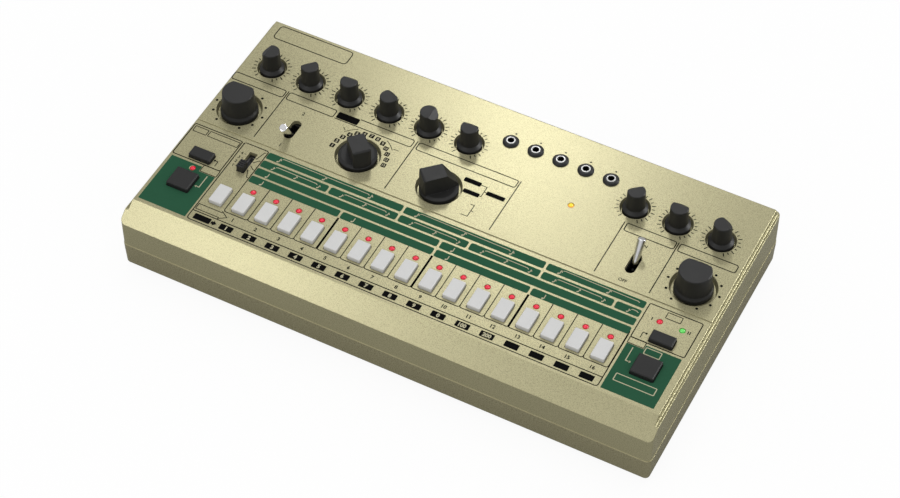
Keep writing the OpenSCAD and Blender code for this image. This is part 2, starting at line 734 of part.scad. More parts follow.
module red_leds() color(led_red) for (s = red_spots) lamp(s);
module green_led() color(led_green) lamp(green_spot);
module amber_led() color(led_amber) lamp(amber_spot);

module voice_jacks() color(chrome) for (s = jack_spots) at(s) difference() {
    union() {
        translate([-3.5, -5.5, panel_board_top])
            cube([7, 11, top - panel_t - 0.1 - panel_board_top]);
        translate([0, 0, top - panel_t - 1]) cylinder(r = jack_collar_r, h = panel_t + 1 + 1.5);
    }
    translate([0, 0, panel_board_top + 1]) cylinder(r = jack_bore_r, h = 20);
}

module jack_nuts() color(socket_black) for (s = jack_spots) at(s, top) difference() {
    union() {
        cylinder(r = 4.4, h = 0.6);
        translate([0, 0, 0.6]) cylinder(r1 = 4.4, r2 = 3.4, h = 0.7);
    }
    translate([0, 0, -skin]) cylinder(r = jack_collar_r + 0.05, h = 3);
}

// ---------------------------------------------------------------- rear sockets

// Moulded jack on the main board with a collar through the rear wall.
module output_jacks() color(socket_black) for (x = output_x) difference() {
    union() {
        translate([x - 8, output_front, main_top]) cube([16, inner_rear - 0.3 - output_front, 16]);
        along_y(x, output_z, output_collar_r, inner_rear - 1, half_d - 0.6);
    }
    along_y(x, output_z, output_bore_r, output_front + 3, half_d + 1);
}

// Five-hole socket with a ring-shaped gap for the plug's collar and a key notch.
module midi_sockets() color(socket_black) for (x = midi_x) difference() {
    body_rear = panel_rear - wall - 0.5;
    face = half_d - 0.6;
    union() {
        translate([x - 9, panel_board_rear + 0.6, main_top])
            cube([18, body_rear - panel_board_rear - 0.6, 18]);
        along_y(x, socket_z, din_r, body_rear - 1, face);
    }
    difference() {
        along_y(x, socket_z, 6.8, face - 8, face + 1);
        along_y(x, socket_z, 5.9, face - 9, face - 0.4);
    }
    for (a = [0 : 45 : 180]) translate([3.75 * cos(a), 0, 3.75 * sin(a)])
        along_y(x, socket_z, 0.75, face - 7, face + 1);
    translate([x - 1.1, face - 7, socket_z - 6.4]) cube([2.2, 8, 2]);
}

// Socket housing at x with its pedestal on the main board.
module housing(x, size, front, face) {
    translate([x - size.x / 2, front, main_top + socket_raise])
        cube([size.x, face - front, size.y]);
    translate([x - size.x / 2, front, main_top])
        cube([size.x, inner_rear - 1 - front, socket_raise + skin]);
}

module usb_socket() color(chrome) difference() {
    mouth = [8.5, 7.8];
    face = half_d - 0.7;
    housing(usb_x, usb, panel_board_rear + 0.6, face);
    difference() {
        translate([usb_x, face + 1, usb_z]) rotate([90, 0, 0]) linear_extrude(10)
            polygon([[-mouth.x / 2, -mouth.y / 2], [mouth.x / 2, -mouth.y / 2],
                [mouth.x / 2, mouth.y / 2 - 1.8], [mouth.x / 2 - 1.8, mouth.y / 2],
                [-mouth.x / 2 + 1.8, mouth.y / 2], [-mouth.x / 2, mouth.y / 2 - 1.8]]);
        translate([usb_x - 2.8, face - 10, usb_z - 1.6]) cube([5.6, 9, 3.2]);
    }
}

module dc_inlet() color(socket_black) difference() {
    face = half_d - 0.7;
    housing(dc_x, dc, panel_board_rear + 2, face);
    difference() {
        along_y(dc_x, dc_z, 3.1, face - 10, face + 1);
        along_y(dc_x, dc_z, 1, face - 11, face - 1);
    }
}

// Snap-in frame of the power switch: bezel, body, pocket for the rocker and two blades.
module power_switch_frame() color(socket_black) translate([power_x, 0, socket_z]) {
    difference() {
        union() {
            translate([-bezel.x / 2, recess_y, -bezel.y / 2]) cube(bezel_box());
            translate([-power.x / 2, recess_y - 12, -power.y / 2]) cube([power.x, 12.5, power.y]);
        }
        translate([-rocker.x / 2 - 0.3, recess_y - 9, -rocker.y / 2 - 0.3])
            cube([rocker.x + 0.6, 20, rocker.y + 0.6]);
        translate([0, rocker_pivot_y, 0]) cylinder(r = 0.95, h = power.y - 0.6, center = true);
    }
    for (x = [-4, 4]) translate([x - 0.4, recess_y - 16, -2.4]) cube([0.8, 4.5, 4.8]);
}
function bezel_box() = [bezel.x, bezel.z, bezel.y];

// Rocker with two faces that meet in a shallow valley, tipped to its off side.
module power_rocker() color("#262627") translate(rocker_pivot) rotate(rocker_tilt) {
    reach = rocker.x / 2;
    valley = 1;
    rise = reach * tan(rocker_tilt);
    intersection() {
        cylinder(r = reach, h = rocker.y, center = true);
        linear_extrude(rocker.y, center = true) polygon([[-reach, valley + rise], [0, valley],
            [reach, valley + rise], [reach, -2.5], [-reach, -2.5]]);
    }
    cylinder(r = 0.9, h = power.y - 0.9, center = true);
}

// ---------------------------------------------------------------- nodes

top_shell();
bottom_shell();
rubber_feet();
screws();
panel_board();
main_board();
potentiometers();
rotary_switches();
toggle_switch_bodies();
scale_switch_body();
key_switches();
red_leds();
green_led();
amber_led();
voice_jacks();
jack_nuts();
output_jacks();
midi_sockets();
usb_socket();
dc_inlet();
power_switch_frame();
ribbon_cable();
large_knob(tempo_spot);  // tempo_knob
large_knob(volume_spot);  // volume_knob
instrument_selector();
mode_selector();
variant_toggle();
distortion_toggle();
scale_slider();
large_button(start_spot);  // start_button
large_button(tap_spot);  // tap_button
small_button(clear_spot);  // clear_button
small_button(group_spot);  // group_button
power_rocker();
step_key(-1);  // function_key
for (i = [1 : 9]) small_knob(i - 1);
for (i = [1 : 16]) step_key(i - 1);
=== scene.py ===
"""Finishes, printed markings, stage and camera for a desktop drum machine."""

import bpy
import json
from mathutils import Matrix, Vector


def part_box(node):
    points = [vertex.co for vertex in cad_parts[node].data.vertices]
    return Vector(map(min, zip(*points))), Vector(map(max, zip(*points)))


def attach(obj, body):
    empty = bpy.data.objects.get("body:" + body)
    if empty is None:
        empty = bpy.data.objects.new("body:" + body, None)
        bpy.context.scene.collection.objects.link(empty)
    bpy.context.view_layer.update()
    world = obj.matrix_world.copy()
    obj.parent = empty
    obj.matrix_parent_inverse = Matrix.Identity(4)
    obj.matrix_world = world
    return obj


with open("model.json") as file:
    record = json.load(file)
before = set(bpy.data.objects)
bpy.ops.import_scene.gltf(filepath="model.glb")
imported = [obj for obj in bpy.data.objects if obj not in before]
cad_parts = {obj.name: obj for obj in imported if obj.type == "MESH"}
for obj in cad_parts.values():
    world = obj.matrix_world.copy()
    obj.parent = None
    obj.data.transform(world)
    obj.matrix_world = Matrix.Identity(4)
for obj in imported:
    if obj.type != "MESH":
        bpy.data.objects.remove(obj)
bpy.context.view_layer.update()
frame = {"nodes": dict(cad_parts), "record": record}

import json
import math

import bpy
from bpy.props import FloatProperty, FloatVectorProperty, PointerProperty
from mathutils import Matrix, Vector
from mathutils.geometry import tessellate_polygon

bl_info = {
    "name": "Drum Machine Finishes",
    "version": (1, 0, 0),
    "blender": (4, 5, 0),
    "location": "View3D > Sidebar > Drum Machine",
    "description": "Paints, marks and lights a desktop drum machine",
    "category": "Object",
}

MM = 0.001

# Heights of the parting line and of the panel over the table, in millimetres
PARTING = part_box("top_shell")[0].z / MM
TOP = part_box("top_shell")[1].z / MM


def middle(node):
    """Centre of a part of the frame in the plan, in millimetres."""
    low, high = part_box(node)
    return (low.x + high.x) / 2 / MM, (low.y + high.y) / 2 / MM


STEPS = 16
KEYS = [middle(f"step_key_{i:02d}") for i in range(1, STEPS + 1)]
FIRST_KEY, LAST_KEY = KEYS[0][0], KEYS[-1][0]
PITCH = (LAST_KEY - FIRST_KEY) / (STEPS - 1)
SMALL_KNOBS = [middle(f"small_knob_{i}") for i in range(1, 10)]
LARGE_KNOBS = [middle("tempo_knob"), middle("volume_knob")]
INSTRUMENT = middle("instrument_selector")


# ---------------------------------------------------------------- settings


class PrintSettings(bpy.types.PropertyGroup):
    """Inks and line widths of the printed markings."""

    line: FloatProperty(
        name="Line width", description="Width of the thin printed lines",
        default=0.00056, min=0.0001, max=0.001, unit="LENGTH", precision=5)
    layer: FloatProperty(
        name="Ink thickness", description="Height of one layer of ink over the paint",
        default=0.00002, min=0.000005, max=0.0001, unit="LENGTH", precision=6)
    black: FloatVectorProperty(
        name="Black ink", description="Colour of the black ink",
        default=(0.0025, 0.0025, 0.0025), subtype="COLOR", min=0, max=1)
    cream: FloatVectorProperty(
        name="Cream ink", description="Colour of the pale ink on green and black fields",
        default=(0.52, 0.49, 0.33), subtype="COLOR", min=0, max=1)
    green: FloatVectorProperty(
        name="Green ink", description="Colour of the green fields",
        default=(0.025, 0.098, 0.052), subtype="COLOR", min=0, max=1)


class FinishSettings(bpy.types.PropertyGroup):
    """Colours and roughness of the paint and plastics."""

    paint: FloatVectorProperty(
        name="Upper paint", description="Metallic paint of the upper shell",
        default=(0.365, 0.34, 0.205), subtype="COLOR", min=0, max=1)
    lower_paint: FloatVectorProperty(
        name="Lower paint", description="Metallic paint of the lower shell",
        default=(0.31, 0.285, 0.175), subtype="COLOR", min=0, max=1)
    paint_roughness: FloatProperty(
        name="Paint roughness", description="Roughness of the metallic paint",
        default=0.28, min=0.1, max=0.8, subtype="FACTOR")
    knob: FloatVectorProperty(
        name="Knobs", description="Moulded plastic of the knobs",
        default=(0.018, 0.018, 0.0175), subtype="COLOR", min=0, max=1)
    button: FloatVectorProperty(
        name="Buttons", description="Moulded plastic of the dark buttons",
        default=(0.019, 0.019, 0.0188), subtype="COLOR", min=0, max=1)
    key: FloatVectorProperty(
        name="Step keys", description="Moulded plastic of the pale keys",
        default=(0.68, 0.68, 0.67), subtype="COLOR", min=0, max=1)
    edge: FloatProperty(
        name="Edge rounding", description="Radius of the softened edges",
        default=0.0004, min=0.0, max=0.001, unit="LENGTH", precision=5)
    key_edge: FloatProperty(
        name="Key edge rounding", description="Radius of the softened edges of the step keys",
        default=0.00015, min=0.0, max=0.001, unit="LENGTH", precision=5)


class StageSettings(bpy.types.PropertyGroup):
    """Floor and lamps."""

    floor: FloatVectorProperty(
        name="Floor", description="Colour of the floor",
        default=(0.5, 0.5, 0.5), subtype="COLOR", min=0, max=1)
    level: FloatProperty(
        name="Light level", description="Strength of all lamps together",
        default=1.0, min=0.1, max=3.0, subtype="FACTOR")
    sky: FloatProperty(
        name="Sky level", description="Strength of the even light from all round",
        default=0.7, min=0.0, max=1.0, subtype="FACTOR")


# ---------------------------------------------------------------- shader maths


class Value:
    """A number that runs through a node tree, so that sums on it are written as plain sums."""

    def __init__(self, nodes, socket):
        self.nodes, self.socket = nodes, socket

    def __add__(self, other):
        return self.nodes.math("ADD", self, other)

    __radd__ = __add__

    def __sub__(self, other):
        return self.nodes.math("SUBTRACT", self, other)

    def __rsub__(self, other):
        return self.nodes.math("SUBTRACT", other, self)

    def __mul__(self, other):
        return self.nodes.math("MULTIPLY", self, other)

    __rmul__ = __mul__

    def __truediv__(self, other):
        return self.nodes.math("DIVIDE", self, other)

    def __abs__(self):
        return self.nodes.math("ABSOLUTE", self)

    def held(self, low=0.0, high=1.0):
        """The value kept between two limits."""
        return self.nodes.math("MINIMUM", self.nodes.math("MAXIMUM", self, low), high)

    def above(self, limit, width):
        """0 below the limit and 1 above it, with a ramp of the given width between."""
        return ((self - (limit - width / 2)) / width).held()

    def swing(self, width):
        """A value from 0 to 1 turned into a swing of the given width about 0."""
        return (self - 0.5) * width


class Nodes:
    """A node tree, filled from empty."""

    def __init__(self, owner):
        owner.use_nodes = True
        self.tree = owner.node_tree
        self.tree.nodes.clear()

    def node(self, kind, settings=None, inputs=None):
        """Adds one node: its settings first, then the values or links of its sockets."""
        made = self.tree.nodes.new(kind)
        for key, value in (settings or {}).items():
            setattr(made, key, value)
        for key, value in (inputs or {}).items():
            if isinstance(value, Value):
                value = value.socket
            if isinstance(value, bpy.types.NodeSocket):
                self.tree.links.new(value, made.inputs[key])
            else:
                made.inputs[key].default_value = value
        return made

    def math(self, operation, *terms):
        """One sum of values and numbers."""
        made = self.node("ShaderNodeMath", {"operation": operation}, dict(enumerate(terms)))
        return Value(self, made.outputs[0])

    def seen(self):
        """1 for what is looked at straight or through glass, and 0 for all other light."""
        rays = self.node("ShaderNodeLightPath")
        return self.math("MAXIMUM", rays.outputs["Is Camera Ray"],
                         rays.outputs["Is Transmission Ray"])


class Finish(Nodes):
    """A material and the nodes in it."""

    def __init__(self, name):
        self.material = bpy.data.materials.new(name)
        super().__init__(self.material)
        self.place = self.node("ShaderNodeTexCoord").outputs["Object"]

    def noise(self, size, detail=2.0, stretch=None):
        """Even noise from 0 to 1 whose grains are about size metres wide."""
        place = self.place
        if stretch:
            place = self.node("ShaderNodeVectorMath", {"operation": "MULTIPLY"},
                              {0: place, 1: stretch}).outputs[0]
        made = self.node("ShaderNodeTexNoise", {"noise_dimensions": "3D"},
                         {"Vector": place, "Scale": 1 / size, "Detail": detail,
                          "Roughness": 0.55})
        return Value(self, made.outputs["Fac"])

    def part(self, vector, axis):
        """The X, Y or Z part of a vector."""
        return Value(self, self.node("ShaderNodeSeparateXYZ", None, {0: vector}).outputs[axis])

    def mix(self, factor, first, second):
        """One colour turning into another as the factor goes from 0 to 1."""
        made = self.node("ShaderNodeMix", {"data_type": "RGBA"},
                         {0: factor, 6: self.rgba(first), 7: self.rgba(second)})
        return made.outputs[2]

    def mottled(self, tone, colour, spread):
        """A colour made darker and lighter by the spread as the tone goes from 0 to 1."""
        return self.mix(tone, shade(colour, 1 - spread), shade(colour, 1 + spread))

    @staticmethod
    def rgba(colour):
        """A colour with its alpha, or a link as it is."""
        if isinstance(colour, bpy.types.NodeSocket):
            return colour
        return (*colour, 1.0)

    def face_normal(self):
        """Normal of the surface as it is, with sharp edges."""
        return self.node("ShaderNodeNewGeometry").outputs["Normal"]

    def soft_edge(self, radius):
        """Normal of slightly rounded edges."""
        return self.node("ShaderNodeBevel", {"samples": 4}, {"Radius": radius}).outputs[0]

    def rim(self, rounded_normal):
        """Mask that is 1 on the rounded edges and 0 on the faces between them."""
        dot = self.node("ShaderNodeVectorMath", {"operation": "DOT_PRODUCT"},
                        {0: rounded_normal, 1: self.face_normal()}).outputs["Value"]
        return ((1 - Value(self, dot)) * RIM_CONTRAST).held()

    def bump(self, height, depth, normal=None):
        """Relief of the given depth in metres."""
        inputs = {"Strength": 1.0, "Distance": depth, "Height": height}
        if normal is not None:
            inputs["Normal"] = normal
        return self.node("ShaderNodeBump", None, inputs).outputs[0]

    def surface(self, colour, roughness, **sockets):
        """Closes the material with one shader. Sockets are named with underscores for blanks."""
        inputs = {"Base Color": colour, "Roughness": roughness}
        for key, value in sockets.items():
            inputs[key.replace("_", " ")] = value
        shader = self.node("ShaderNodeBsdfPrincipled", None, inputs)
        self.node("ShaderNodeOutputMaterial", None, {"Surface": shader.outputs[0]})
        return self.material


def shade(colour, factor):
    """A colour made lighter or darker by a factor."""
    return tuple(min(1.0, c * factor) for c in colour[:3])


# ---------------------------------------------------------------- finishes


RIM_CONTRAST = 14.0
# Half-width of the painted highlight along the parting lip, in metres
LIP_HIGHLIGHT = 0.0006
FLAKE_TINT = (0.6, 0.57, 0.38, 1.0)
FEET_RUBBER = (0.02, 0.02, 0.02)
SCREW_STEEL = (0.5, 0.5, 0.52)
CHROME = (0.8, 0.8, 0.8)
NICKEL = (0.19, 0.19, 0.185)
CONTROL_METAL = (0.42, 0.42, 0.43)
# Colour of the painted shade on the levers where they sit in their slots
SLOT_SHADE = (0.012, 0.012, 0.012)
SOCKET_BLACK = (0.012, 0.012, 0.012)
SOLDER_MASK, MASKED_TRACK = (0.012, 0.075, 0.035), (0.035, 0.15, 0.07)
# Colours of the painted shade between the cable's cores and of the painted light on their crowns
RIBBON_GROOVE_SHADE, RIBBON_CROWN_LIGHT = (0.12, 0.12, 0.125), (0.3, 0.3, 0.31)
RIBBON_PITCH = 0.00127
RED_CORE, RED_RIM = (0.84, 0.012, 0.05), (0.45, 0.002, 0.012)
GREEN_CORE, GREEN_RIM = (0.16, 0.8, 0.14), (0.03, 0.4, 0.04)
AMBER_CORE, AMBER_RIM = (1.0, 0.8, 0.03), (0.95, 0.25, 0.005)

# Painted shade darkens the levers below this height, where they enter their slots
LEVER_SHADED_BELOW = (TOP - 1.2) * MM


def metallic_paint(name, colour, roughness, edge):
    """Sprayed metallic paint: bright flakes, soft mottling, and a painted highlight that makes the
    edges and the parting lip paler.
    """
    f = Finish(name)
    normal = f.soft_edge(edge)
    rim = f.rim(normal)
    flakes = f.noise(size=0.00042, detail=1.0)
    cloud = f.noise(size=0.0013)
    broad = f.noise(size=0.05)
    tone = flakes.swing(0.75) + cloud.swing(0.5) + broad.swing(0.12) + 0.5
    base = f.mottled(tone.held(), colour, 0.24)
    # Painted highlight: the rounded edges and a thin line along the parting lip are made paler.
    lip = (1 - abs(f.part(f.place, "Z") - PARTING * MM) / LIP_HIGHLIGHT).held()
    base = f.mix((rim * 0.5 + lip * 0.7).held(), base, shade(colour, 1.8))
    grain = f.bump(flakes * 0.6 + cloud * 0.4, 0.00002, normal)
    return f.surface(base, (roughness + flakes.swing(0.12) + rim * 0.2).held(),
                     Metallic=0.3, Normal=grain, Specular_IOR_Level=0.25,
                     Specular_Tint=FLAKE_TINT)


def moulded_plastic(name, colour, roughness, edge, sheen):
    """Moulded plastic with a fine spark-eroded texture and shinier edges, made paler partly by
    wear and partly by a painted highlight.
    """
    f = Finish(name)
    normal = f.soft_edge(edge)
    rim = f.rim(normal)
    fine = f.noise(size=0.0003)
    haze = f.noise(size=0.006, detail=3.0)
    tone = (fine.swing(0.5) + haze.swing(0.5) + 0.5).held()
    # The rounded edges are made paler: partly wear, partly a painted highlight.
    base = f.mix(rim * 0.5, f.mottled(tone, colour, 0.12), shade(colour, 1.6))
    return f.surface(base, (roughness + haze.swing(0.14) - rim * 0.1).held(0.05, 1.0),
                     Normal=f.bump(fine, 0.00001, normal), Specular_IOR_Level=0.5 * sheen)


def printed_ink(name, colour):
    """Screen-printed ink: a flat film with a faint orange-peel surface and thin spots."""
    f = Finish(name)
    peel = f.noise(size=0.0006)
    patch = f.noise(size=0.004, detail=3.0)
    tone = (peel.swing(0.6) + patch.swing(0.5) + 0.5).held()
    return f.surface(f.mottled(tone, colour, 0.1), (0.6 + patch.swing(0.15)).held(),
                     Normal=f.bump(peel, 0.000008), Specular_IOR_Level=0.03)


def plated_metal(name, colour, roughness, lines=(1, 1, 1), shaded_below=None):
    """Plated or turned metal with faint polishing lines and smears, and painted shade below a
    height.
    """
    f = Finish(name)
    normal = f.soft_edge(0.0001)
    scratch = f.noise(size=0.0002, stretch=lines)
    smear = f.noise(size=0.003, detail=3.0)
    base = f.mix(smear, shade(colour, 0.9), shade(colour, 1.06))
    # Painted shade: below the height the metal turns dark, where it sits in its slot.
    if shaded_below is not None:
        bare = f.part(f.place, "Z").above(shaded_below, 0.0006)
        base = f.mix(bare, SLOT_SHADE, base)
    rough = (roughness + smear.swing(0.12) + scratch.swing(0.08)).held(0.03, 1.0)
    return f.surface(base, rough, Metallic=1.0, Normal=f.bump(scratch, 0.000003, normal))


def lamp_lens(name, core, rim, glow):
    """Tinted clear dome, lit from inside: the core colour on top turns into the rim's below."""
    f = Finish(name)
    swirl = f.noise(size=0.0008)
    crown = (f.part(f.face_normal(), "Z").above(0.62, 0.5) + swirl.swing(0.12)).held()
    tint = f.mix(crown, shade(rim, 0.5), shade(core, 0.45))
    return f.surface(tint, (0.16 + swirl.swing(0.08)).held(),
                     Emission_Color=f.mix(crown, rim, core), Emission_Strength=glow,
                     Coat_Weight=0.25, Coat_Roughness=0.2)


def circuit_board(name):
    """Solder mask over copper: a dark green film with the tracks showing through."""
    f = Finish(name)
    along = f.noise(size=0.002, detail=1.0, stretch=(1.0, 0.12, 1.0)).above(0.52, 0.04)
    across = f.noise(size=0.0022, detail=1.0, stretch=(0.12, 1.0, 1.0)).above(0.56, 0.04)
    tracks = (along + across).held()
    film = f.noise(size=0.0005)
    return f.surface(f.mix(tracks * 0.8, SOLDER_MASK, MASKED_TRACK),
                     (0.34 + film.swing(0.1)).held(),
                     Normal=f.bump(tracks * 0.7 + film * 0.3, 0.00003), Coat_Weight=0.2)


def ribbed_cable(name):
    """Flat cable: parallel grey cores, paler on their crowns and darker between them, which is
    painted light and shade.
    """
    f = Finish(name)
    cores = f.part(f.place, "X") * (2 * math.pi / RIBBON_PITCH)
    ridge = f.math("SINE", cores) * 0.5 + 0.5
    haze = f.noise(size=0.003)
    # Painted light and shade: the cores are paler on their crowns and darker in the grooves
    # between them.
    base = f.mix((ridge * 0.7 + haze * 0.3).held(), RIBBON_GROOVE_SHADE, RIBBON_CROWN_LIGHT)
    return f.surface(base, (0.5 + haze.swing(0.1)).held(), Normal=f.bump(ridge, 0.0001))


def rubber(name, colour):
    """Matt rubber with a dusty, pebbled surface."""
    f = Finish(name)
    pebble = f.noise(size=0.0005, detail=3.0)
    dust = f.noise(size=0.004, detail=3.0)
    base = f.mix((pebble * 0.5 + dust * 0.5).held(), shade(colour, 0.7), shade(colour, 1.5))
    return f.surface(base, (0.78 + dust.swing(0.2)).held(),
                     Normal=f.bump(pebble, 0.00004), Specular_IOR_Level=0.3)


def dress(slots):
    """Gives each part of the frame the material made for its slot."""
    rows = [row for row in frame["record"]["subparts"] if row["material_slot"] in slots]
    if not rows:
        raise RuntimeError("no part of the frame has the slots " + ", ".join(slots))
    for row in rows:
        mesh = frame["nodes"][row["node"]].data
        mesh.materials.clear()
        mesh.materials.append(slots[row["material_slot"]])


# ---------------------------------------------------------------- printed shapes


def polar(x, y, r, degrees):
    """The point at a distance and an angle from a centre."""
    angle = math.radians(degrees)
    return x + r * math.cos(angle), y + r * math.sin(angle)


def arc(x, y, r, start, end, steps=6):
    """Points on an arc, with the angles in degrees."""
    return [polar(x, y, r, start + (end - start) * i / steps) for i in range(steps + 1)]


def circle(x, y, r, sides=16):
    """Points on a full circle."""
    return [polar(x, y, r, 360 * i / sides) for i in range(sides)]


def rounded(x0, y0, x1, y1, r):
    """Outline of a rectangle with round corners."""
    return (arc(x1 - r, y1 - r, r, 0, 90) + arc(x0 + r, y1 - r, r, 90, 180)
            + arc(x0 + r, y0 + r, r, 180, 270) + arc(x1 - r, y0 + r, r, 270, 360))


class Ink:
    """One colour of print: flat shapes in millimetres that become one mesh."""

    # Least cosine of half a turn, which keeps the mitre of a sharp turn short
    LEAST_COSINE = 0.3

    def __init__(self, layer):
        self.z = layer
        self.points, self.faces = [], []

    def fill(self, outline, *holes):
        """A filled outline, with any holes left bare."""
        rings = [outline, *holes]
        first = len(self.points)
        for ring in rings:
            self.points += ring
        for face in tessellate_polygon([[Vector((x, y, 0)) for x, y in ring] for ring in rings]):
            a, b, c = (Vector(self.points[first + i]) for i in face)
            turn = (b.x - a.x) * (c.y - a.y) - (b.y - a.y) * (c.x - a.x)
            order = face if turn > 0 else face[::-1]
            self.faces.append([first + i for i in order])

    def box(self, x0, y0, x1, y1, r):
        """A filled rectangle with round corners."""
        self.fill(rounded(x0, y0, x1, y1, r))

    def dot(self, x, y, r):
        """A filled circle."""
        self.fill(circle(x, y, r))

    def path(self, points, width, closed=False):
        """A line of even width through the points, mitred where it turns."""
        count = len(points)
        left, right = [], []
        for i, (x, y) in enumerate(points):
            ways = []
            if i or closed:
                before = points[i - 1]
                ways.append(Vector((x - before[0], y - before[1])).normalized())
            if i < count - 1 or closed:
                after = points[(i + 1) % count]
                ways.append(Vector((after[0] - x, after[1] - y)).normalized())
            way = sum(ways, Vector((0, 0)))
            way = way.normalized() if way.length > 1e-6 else ways[0]
            mitre = width / 2 / max(self.LEAST_COSINE, abs(way.dot(ways[0])))
            offset = Vector((-way.y, way.x)) * mitre
            left.append((x + offset.x, y + offset.y))
            right.append((x - offset.x, y - offset.y))
        first = len(self.points)
        self.points += left + right
        for i in range(count if closed else count - 1):
            j = (i + 1) % count
            self.faces.append([first + i, first + count + i, first + count + j, first + j])

    def frame(self, x0, y0, x1, y1, r, width):
        """A closed line round a rectangle with round corners."""
        self.path(rounded(x0, y0, x1, y1, r), width, closed=True)

    def figures(self, text, x, y, height, weight):
        """Figures centred on a point, with the given height and boldness."""
        curve = bpy.data.curves.new("figures", "FONT")
        curve.body, curve.offset, curve.resolution_u = text, weight, 3
        holder = bpy.data.objects.new("figures", curve)
        mesh = bpy.data.meshes.new_from_object(holder)
        xs = [v.co.x for v in mesh.vertices]
        ys = [v.co.y for v in mesh.vertices]
        scale = height / (max(ys) - min(ys))
        centre_x, centre_y = (max(xs) + min(xs)) / 2, (max(ys) + min(ys)) / 2
        first = len(self.points)
        self.points += [(x + (px - centre_x) * scale, y + (py - centre_y) * scale)
                        for px, py in zip(xs, ys)]
        for face in mesh.polygons:
            corners = [first + i for i in face.vertices]
            self.faces.append(corners if face.normal.z > 0 else corners[::-1])
        bpy.data.objects.remove(holder)
        bpy.data.curves.remove(curve)
        bpy.data.meshes.remove(mesh)

    def lay(self, name, material):
        """Makes the mesh on the panel and lets it ride on the case."""
        z = TOP * MM + self.z
        mesh = bpy.data.meshes.new(name)
        mesh.from_pydata([(x * MM, y * MM, z) for x, y in self.points], [], self.faces)
        mesh.materials.append(material)
        mesh.validate()
        mesh.update()
        piece = bpy.data.objects.new(name, mesh)
        bpy.context.scene.collection.objects.link(piece)
        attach(piece, "case")


# ---------------------------------------------------------------- printed markings

# Places below are in millimetres from the middle of the case, and w is the width of a full
# line. A box is given by its left, low, right and high sides, with low at the front of the
# panel and high at the rear.

DIAL_START, DIAL_TRAVEL = 240, 300
GROUP_TITLES = (29.2, 34.5)
FIELD_LOW = -66.9
KEY_CELLS = (-54.5, -31.2)
BADGE_ROW = (-65.9, -62.15)
BADGE_MIDDLE = -64.03
CELL_FIGURES = -57.7
BUTTON_FRAME_LOW = -31.8
LEADER_DOT = 0.6
KEY_FLANGE, KEY_GAP = 0.9, 0.3
LAMP_HOLE = 1.75
START_LAMP = (-133.3, KEYS[0][1] + 10.1)

# Low side, high side and steps in a bar of the green strips, from the rear to the front
STRIPS = ((-12.9, -8.2, 6), (-19.1, -14.3, 3), (-25.1, -20.3, 8), (-31.1, -26.3, 4))
STRIP_START, STRIP_GAP = FIRST_KEY - 6.65, 1.25
STRIP_END = LAST_KEY + PITCH / 2 + 0.2


def key_hole(node):
    """Outline of the opening round a key or button, whose flange is wider than its cap."""
    low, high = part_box(node)
    inset = KEY_FLANGE - KEY_GAP
    return rounded(low.x / MM + inset, low.y / MM + inset,
                   high.x / MM - inset, high.y / MM - inset, 0.8)


def title_frames(ink, w):
    """Bare title frames over the control groups, and the lines between the groups."""
    main_title = (-144.5, 66.3, -99, 76.2)
    ink.frame(*main_title, 2, w)
    (low, high), r = GROUP_TITLES, 1.2
    for left, right in ((-149, -117.2), (-115, -86), (-36, 22.5), (84.8, 112.7), (114.9, 146.8)):
        ink.frame(left, low, right, high, r, w)
    badge_left, badge_right, corner = -84.9, -71.7, -40.2
    ink.path([(badge_right, high), (corner, high), *arc(corner, high - r, r, 90, 0),
              *arc(corner, low + r, r, 0, -90), (badge_left, low)], w)
    for x in (-116, -37.3, 23.7, 83.2, 113.7):
        ink.path([(x, -2.5), (x, 34.8)], w)


def title_badge(ink):
    """Black badge at the left end of the instrument selector's title."""
    ink.box(-84.6, 29.8, -71.7, 34.4, 0.8)


def dial_ticks(ink, x, y, w):
    """Scale of fine lines round a small knob, every other one longer."""
    gaps, inner, short, long = 20, 8.7, 10.1, 10.9
    for i in range(gaps + 1):
        angle = DIAL_START - DIAL_TRAVEL * i / gaps
        outer = long if i % 2 == 0 else short
        ink.path([polar(x, y, inner, angle), polar(x, y, outer, angle)], w)


def dial_dots(ink, x, y):
    """Scale of dots round a large knob."""
    gaps, ring, size = 10, 14.0, 0.75
    for i in range(gaps + 1):
        ink.dot(*polar(x, y, ring, DIAL_START - DIAL_TRAVEL * i / gaps), size)


def instrument_badges(black, cream, w):
    """Numbered badges round the instrument selector, and thin lines that group them."""
    x, y = INSTRUMENT
    ring, half_width, half_height = 15.4, 1.35, 1.4
    for i in range(13):
        bx, by = polar(x, y, ring, 180 - 15 * i)
        black.box(bx - half_width, by - half_height, bx + half_width, by + half_height, 0.4)
        cream.figures(str(i + 1), bx, by, 1.9 if i < 9 else 1.6, 0.04)
    thin = w * 0.7
    for start, end in ((142, 118), (62, 38)):
        black.path(arc(x, y, 18.4, start, end, 4), thin)
    black.path([(x - 14.5, y + 12.4), (x - 16.5, y + 14.2)], thin)
    black.path([(x + 14.5, y + 12.4), (x + 17.8, y + 12.4)], thin)


def bracket(ink, tips, stem, middle_y, end, w):
    """Bracket from two tips, each an X and Y, to a stem, with a short line from its middle."""
    (upper_x, upper_y), (lower_x, lower_y) = tips
    ink.path([(upper_x, upper_y), (stem, upper_y), (stem, lower_y), (lower_x, lower_y)], w)
    ink.path([(stem, middle_y), (end, middle_y)], w)


def mode_badges(black, w):
    """Bare badges right of the mode selector and the brackets that join them."""
    for badge in ((-3.5, 21.3, 6.3, 24.3), (-0.6, 14.2, 8.7, 17.0), (11.2, 17.8, 21.8, 20.6)):
        black.box(*badge, 0.5)
    bracket(black, ((6.3, 22.8), (8.7, 15.6)), 9.8, 19.2, 11.2, w * 0.8)
    bracket(black, ((7.4, 8.6), (5.8, 0.4)), 9.6, 4.5, 11.0, w * 0.8)


